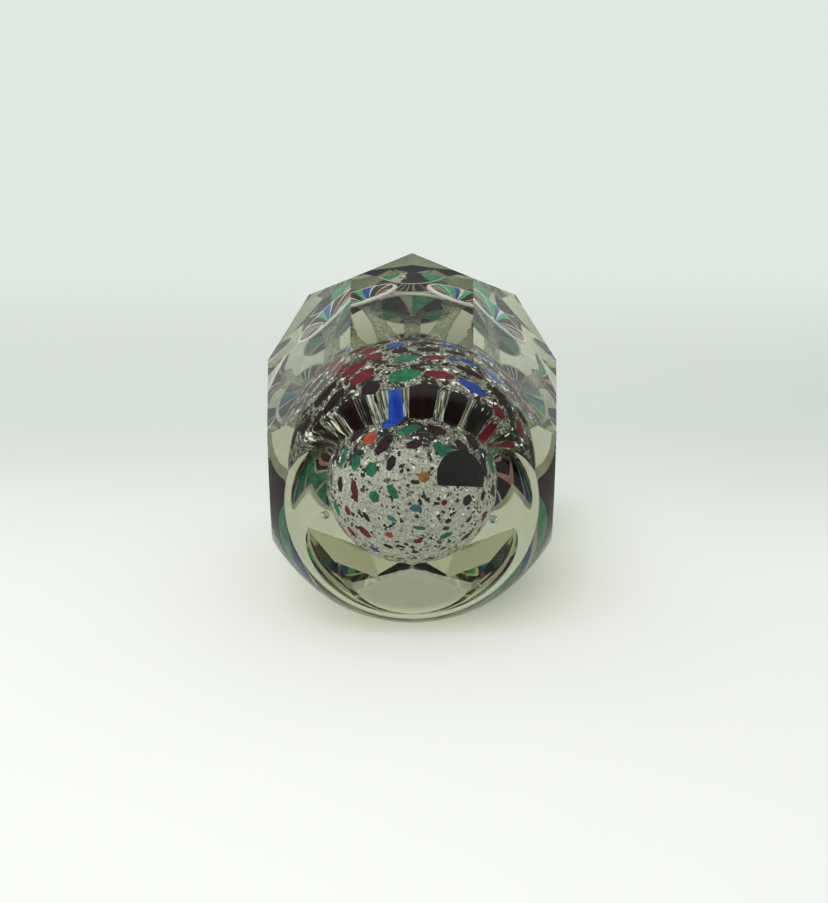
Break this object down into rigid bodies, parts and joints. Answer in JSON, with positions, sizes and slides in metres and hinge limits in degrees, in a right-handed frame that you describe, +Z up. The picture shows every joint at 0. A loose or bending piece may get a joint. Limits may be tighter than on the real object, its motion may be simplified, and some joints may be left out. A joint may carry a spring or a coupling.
{
  "type": "paperweight",
  "caption": "Faceted clear glass paperweight with trumpet flowers standing on a mottled ball of coloured chips, on a flat round base.",
  "frame": {"origin": "centre of the flat base", "axes": "+Z up the axis from the base to the flat top"},
  "size_m": [0.0702, 0.0702, 0.0775],
  "materials": {
    "crystal": "polished, faintly olive",
    "frit": "silvery crushed glass",
    "amethyst_glass": "polished",
    "ruby_glass": "polished",
    "green_glass": "polished",
    "cobalt_glass": "polished",
    "turquoise_glass": "polished",
    "orange_glass": "polished",
    "amber_glass": "polished",
    "opal_glass": "opal white",
    "pink_glass": "polished",
    "stem_glass": "seeded with fine bubbles"
  },
  "bodies": {
    "root": {"crystal_casing": "crystal", "clear_core": "crystal", "frit_ground": "frit", "pontil_chip": "amber_glass", "great_chip": "amethyst_glass", "amethyst_chips": "amethyst_glass", "green_chips": "green_glass", "ruby_chips": "ruby_glass", "cobalt_chips": "cobalt_glass", "turquoise_chips": "turquoise_glass", "orange_chips": "orange_glass", "ring_stems": "stem_glass", "ring_rims": "opal_glass", "ring_petals_amethyst": "amethyst_glass", "ring_petals_white": "opal_glass", "ring_petals_green": "green_glass", "ring_petals_cobalt": "cobalt_glass", "ring_petals_pink": "pink_glass", "middle_stem": "stem_glass", "middle_rim": "opal_glass", "middle_petals_amethyst": "amethyst_glass", "middle_petals_white": "opal_glass", "middle_petals_green": "green_glass"}
  },
  "joints": []
}
